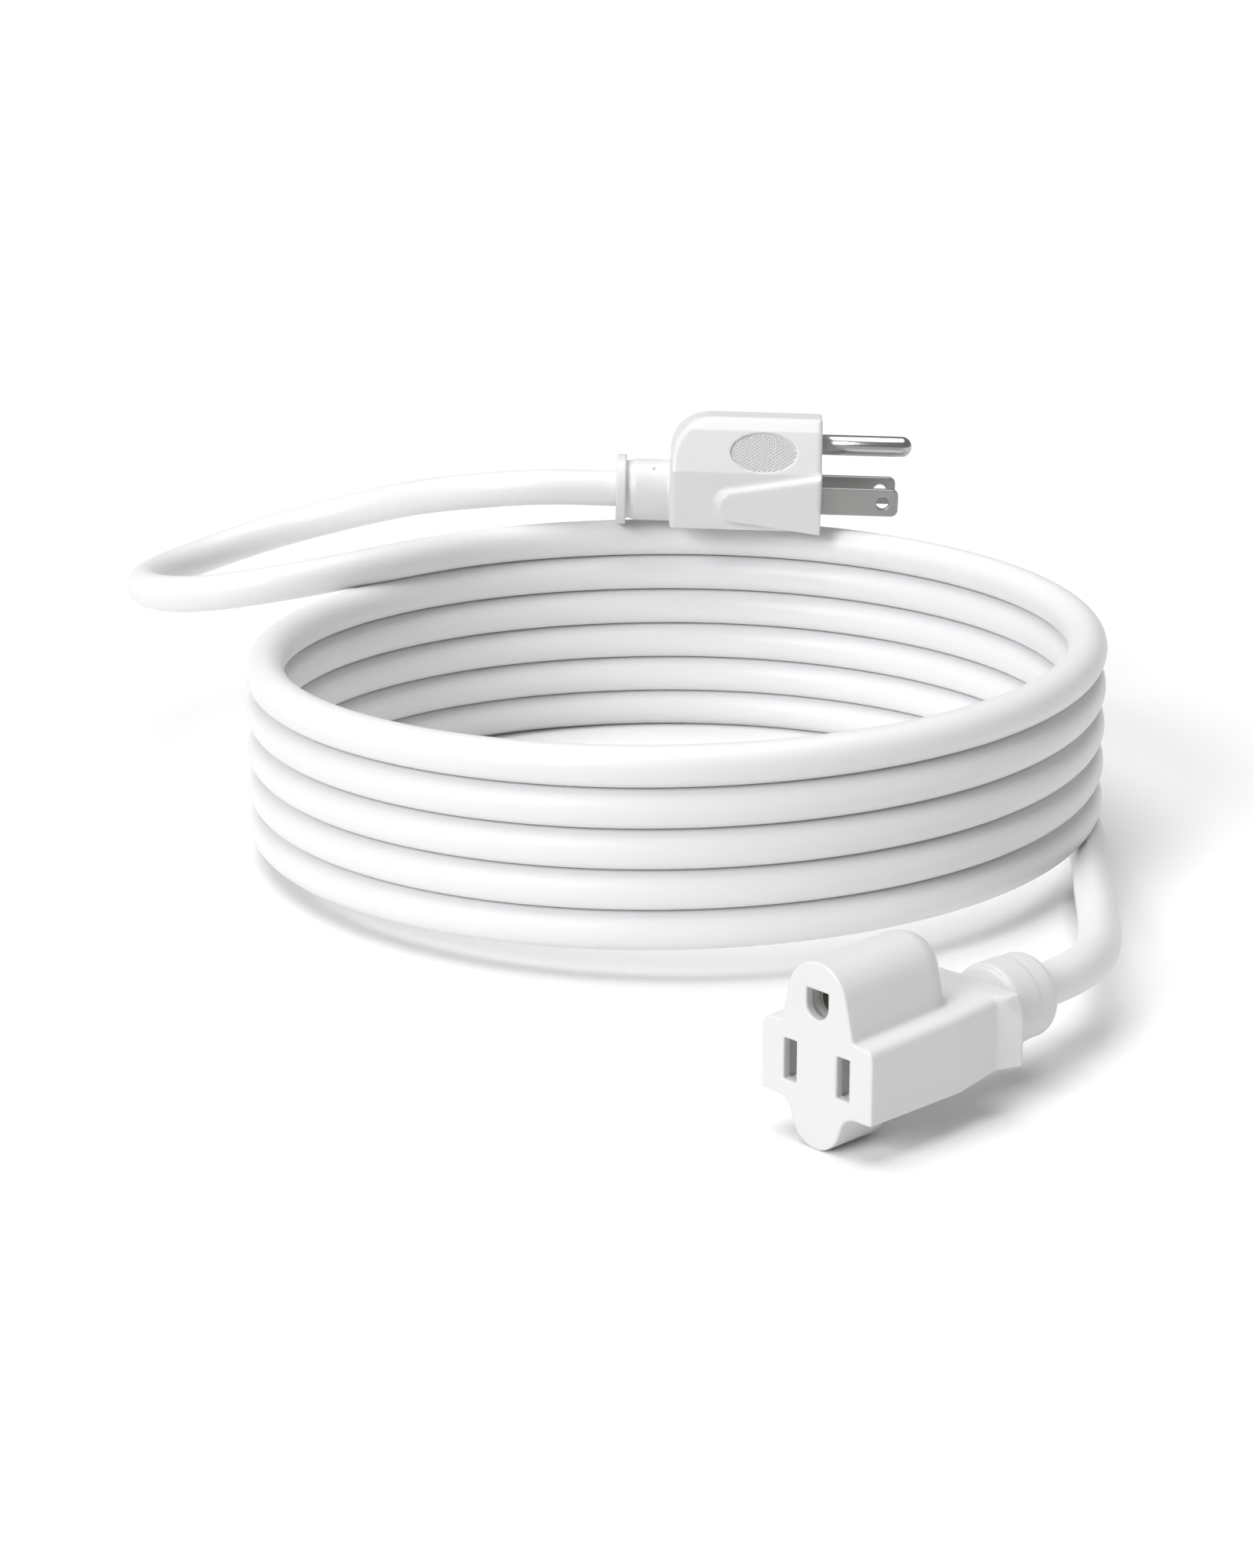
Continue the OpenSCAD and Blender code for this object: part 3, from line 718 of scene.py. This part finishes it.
class Nodes:
    """A material's node tree, with a short way to add and link nodes."""

    def __init__(self, name):
        self.material = bpy.data.materials.new(name)
        self.material.use_nodes = True
        self.tree = self.material.node_tree
        self.shader = self.tree.nodes["Principled BSDF"]
        self.place = self.add("ShaderNodeTexCoord").outputs["Object"]

    def add(self, kind, **values):
        """A new node, with its properties and inputs set by name."""
        node = self.tree.nodes.new(kind)
        for key, value in values.items():
            if hasattr(node, key):
                setattr(node, key, value)
            else:
                node.inputs[key.replace("_", " ")].default_value = value
        return node

    def link(self, source, target):
        self.tree.links.new(source, target)

    def stretched(self, scale):
        node = self.add("ShaderNodeMapping")
        node.inputs["Scale"].default_value = scale
        self.link(self.place, node.inputs["Vector"])
        return node.outputs["Vector"]

    def noise(self, scale, detail=3.0, place=None):
        node = self.add("ShaderNodeTexNoise", Scale=scale, Detail=detail)
        self.link(place or self.place, node.inputs["Vector"])
        return node.outputs["Fac"]

    def ramp(self, source, low, high):
        node = self.add("ShaderNodeMapRange")
        node.inputs["To Min"].default_value = low
        node.inputs["To Max"].default_value = high
        self.link(source, node.inputs["Value"])
        return node.outputs["Result"]

    def tint(self, source, dark, light):
        node = self.add("ShaderNodeMix", data_type="RGBA")
        for socket, value in zip([s for s in node.inputs if s.type == "RGBA"], (dark, light)):
            socket.default_value = (*value, 1)
        self.link(source, node.inputs["Factor"])
        self.link([s for s in node.outputs if s.type == "RGBA"][0], self.shader.inputs["Base Color"])

    def rough(self, source, low, high):
        self.link(self.ramp(source, low, high), self.shader.inputs["Roughness"])

    def bump(self, source, strength, distance):
        node = self.add("ShaderNodeBump", Strength=strength, Distance=distance)
        self.link(source, node.inputs["Height"])
        self.link(node.outputs["Normal"], self.shader.inputs["Normal"])


SKIN_DEPTH = 0.00001
MARKS = (60.0, 1800.0, 1800.0)  # fine across a metal piece and long along it


def plastic(name, dark, light, rough, grain=2200.0):
    """Moulded or drawn plastic: faint cloudy colour, uneven gloss and a fine skin."""
    m = Nodes(name)
    m.tint(m.noise(scale=60.0), dark, light)
    m.rough(m.noise(scale=140.0, detail=4.0), *rough)
    m.bump(m.noise(grain, detail=2.0), strength=0.25, distance=SKIN_DEPTH)
    m.shader.inputs["IOR"].default_value = 1.5
    return m.material


def metal(name, dark, light, rough, strength=0.12):
    """Plated or bare metal with fine marks along the piece."""
    m = Nodes(name)
    marks = m.noise(scale=1.0, detail=4.0, place=m.stretched(MARKS))
    m.tint(marks, dark, light)
    m.rough(marks, *rough)
    m.bump(marks, strength, SKIN_DEPTH)
    m.shader.inputs["Metallic"].default_value = 1.0
    return m.material


WHITE = plastic("white_moulded", (0.68, 0.68, 0.69), (0.71, 0.71, 0.72), (0.34, 0.44))
JACKET = plastic("white_jacket", (0.75, 0.75, 0.76), (0.78, 0.78, 0.79), (0.36, 0.46), grain=1600.0)
# Plastic of the inner carrier, cap and bridge; its tone, whiter than the white moulding, is painted light
# that lightens the shaded insides of the slots
INNER_PAINTED_LIGHT = plastic("inner_plastic", (0.8, 0.8, 0.79), (0.84, 0.84, 0.83), (0.45, 0.55))
BLACK = plastic("black_insulation", (0.012, 0.012, 0.012), (0.02, 0.02, 0.02), (0.3, 0.4))
PALE = plastic("white_insulation", (0.66, 0.66, 0.64), (0.72, 0.72, 0.7), (0.3, 0.4))
GREEN = plastic("green_insulation", (0.02, 0.16, 0.05), (0.03, 0.2, 0.07), (0.3, 0.4))
NICKEL = metal("satin_nickel", (0.4, 0.4, 0.39), (0.45, 0.45, 0.44), (0.36, 0.48))
CHROME = metal("polished_nickel", (0.44, 0.44, 0.45), (0.5, 0.5, 0.51), (0.18, 0.24), strength=0.04)
TINNED = metal("tinned_brass", (0.62, 0.6, 0.55), (0.7, 0.68, 0.63), (0.4, 0.52))
COPPER = metal("bare_copper", (0.55, 0.25, 0.14), (0.65, 0.32, 0.18), (0.3, 0.45))

# Materials of the CAD's own inner pieces, by words in their names
INNER_MATERIALS = (
    ("line_wire", BLACK), ("neutral_wire", PALE), ("ground_wire", GREEN), ("core", COPPER),
    ("contact", TINNED), ("bridge", INNER_PAINTED_LIGHT), ("carrier", INNER_PAINTED_LIGHT), ("cap", INNER_PAINTED_LIGHT),
)


def dress(obj, material):
    """Give the piece one material."""
    obj.data.materials.clear()
    obj.data.materials.append(material)


def place_piece(obj, material, slot, *nodes):
    """Dress a piece, tie it to the body and hide the nodes that it replaces; slot is not used."""
    dress(obj, material)
    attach(obj, BODY)
    if nodes:
        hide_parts(*nodes)


# ---- stage ----

AMBIENT, BACKDROP = 0.27, 1.0


def make_floor():
    """Pale floor, so wide that its edge is out of sight."""
    size = 12.0
    corners = [(-size, -size, 0), (size, -size, 0), (size, size, 0), (-size, size, 0)]
    floor = mesh_object("floor", corners, [(0, 1, 2, 3)])
    m = Nodes("pale_floor")
    m.tint(m.noise(scale=3.0), (0.89, 0.89, 0.89), (0.91, 0.91, 0.91))
    m.rough(m.noise(scale=8.0), 0.8, 0.9)
    dress(floor, m.material)


def make_sun(name, towards, softness, strength):
    """Light from the direction of towards; softness is how wide it looks, in degrees."""
    data = bpy.data.lights.new(name, "SUN")
    data.angle = math.radians(softness)
    data.energy = strength
    aim(new_object(name, data), towards, (0, 0, 0))


def make_world():
    """White where the camera sees it, and a weaker even light on everything else."""
    world = bpy.data.worlds.new("studio")
    bpy.context.scene.world = world
    world.use_nodes = True
    tree = world.node_tree
    ambient = tree.nodes["Background"]
    seen = tree.nodes.new("ShaderNodeBackground")
    for node, strength in ((ambient, AMBIENT), (seen, BACKDROP)):
        node.inputs["Color"].default_value = (1, 1, 1, 1)
        node.inputs["Strength"].default_value = strength
    path = tree.nodes.new("ShaderNodeLightPath")
    mix = tree.nodes.new("ShaderNodeMixShader")
    tree.links.new(path.outputs["Is Camera Ray"], mix.inputs[0])
    tree.links.new(ambient.outputs[0], mix.inputs[1])
    tree.links.new(seen.outputs[0], mix.inputs[2])
    tree.links.new(mix.outputs[0], tree.nodes["World Output"].inputs["Surface"])


def make_stage():
    make_floor()
    make_world()
    bpy.context.scene.view_settings.view_transform = "Standard"
    make_sun("key", towards=(0.05, -0.865, 0.5), softness=30, strength=1.75)
    make_sun("top", towards=(-0.1, -0.05, 0.99), softness=55, strength=2.2)


# ---- assembly ----

make_camera()
cord, cord_middle, cord_length = make_cord()
place_piece(cord, JACKET, "cord_jacket", "cord_coil", "cord_plug_lead", "cord_connector_lead")

plug = surface(
    "plug_moulding", plug_distance,
    low=(-48.2, -13.2, -8.8), high=(0.6, 13.2, 19.6), step=0.3, matrix=PLUG_MATRIX,
)
place_piece(plug, WHITE, "plug_shell", "plug_overmould")
pads = [make_pad("grip_pad_left", 1), make_pad("grip_pad_right", -1)]
for pad in pads:
    place_piece(pad, WHITE, "plug_shell")
for name, side in (("line_blade", 1), ("neutral_blade", -1)):
    blade = make_blade(name, side)
    place_piece(blade, NICKEL, "blade_plating", "plug_" + name)
pin = make_pin()
place_piece(pin, CHROME, "pin_plating", "plug_ground_pin")

connector = surface(
    "connector_moulding", connector_distance,
    low=(-56.7, -15, -15.6), high=(0.6, 15, 20.8), step=0.33, matrix=CONNECTOR_MATRIX,
)
place_piece(connector, WHITE, "connector_shell", "connector_overmould")

for node_name, piece in NODES.items():
    for words, material in INNER_MATERIALS:
        if words in node_name:
            dress(piece, material)

make_stage()
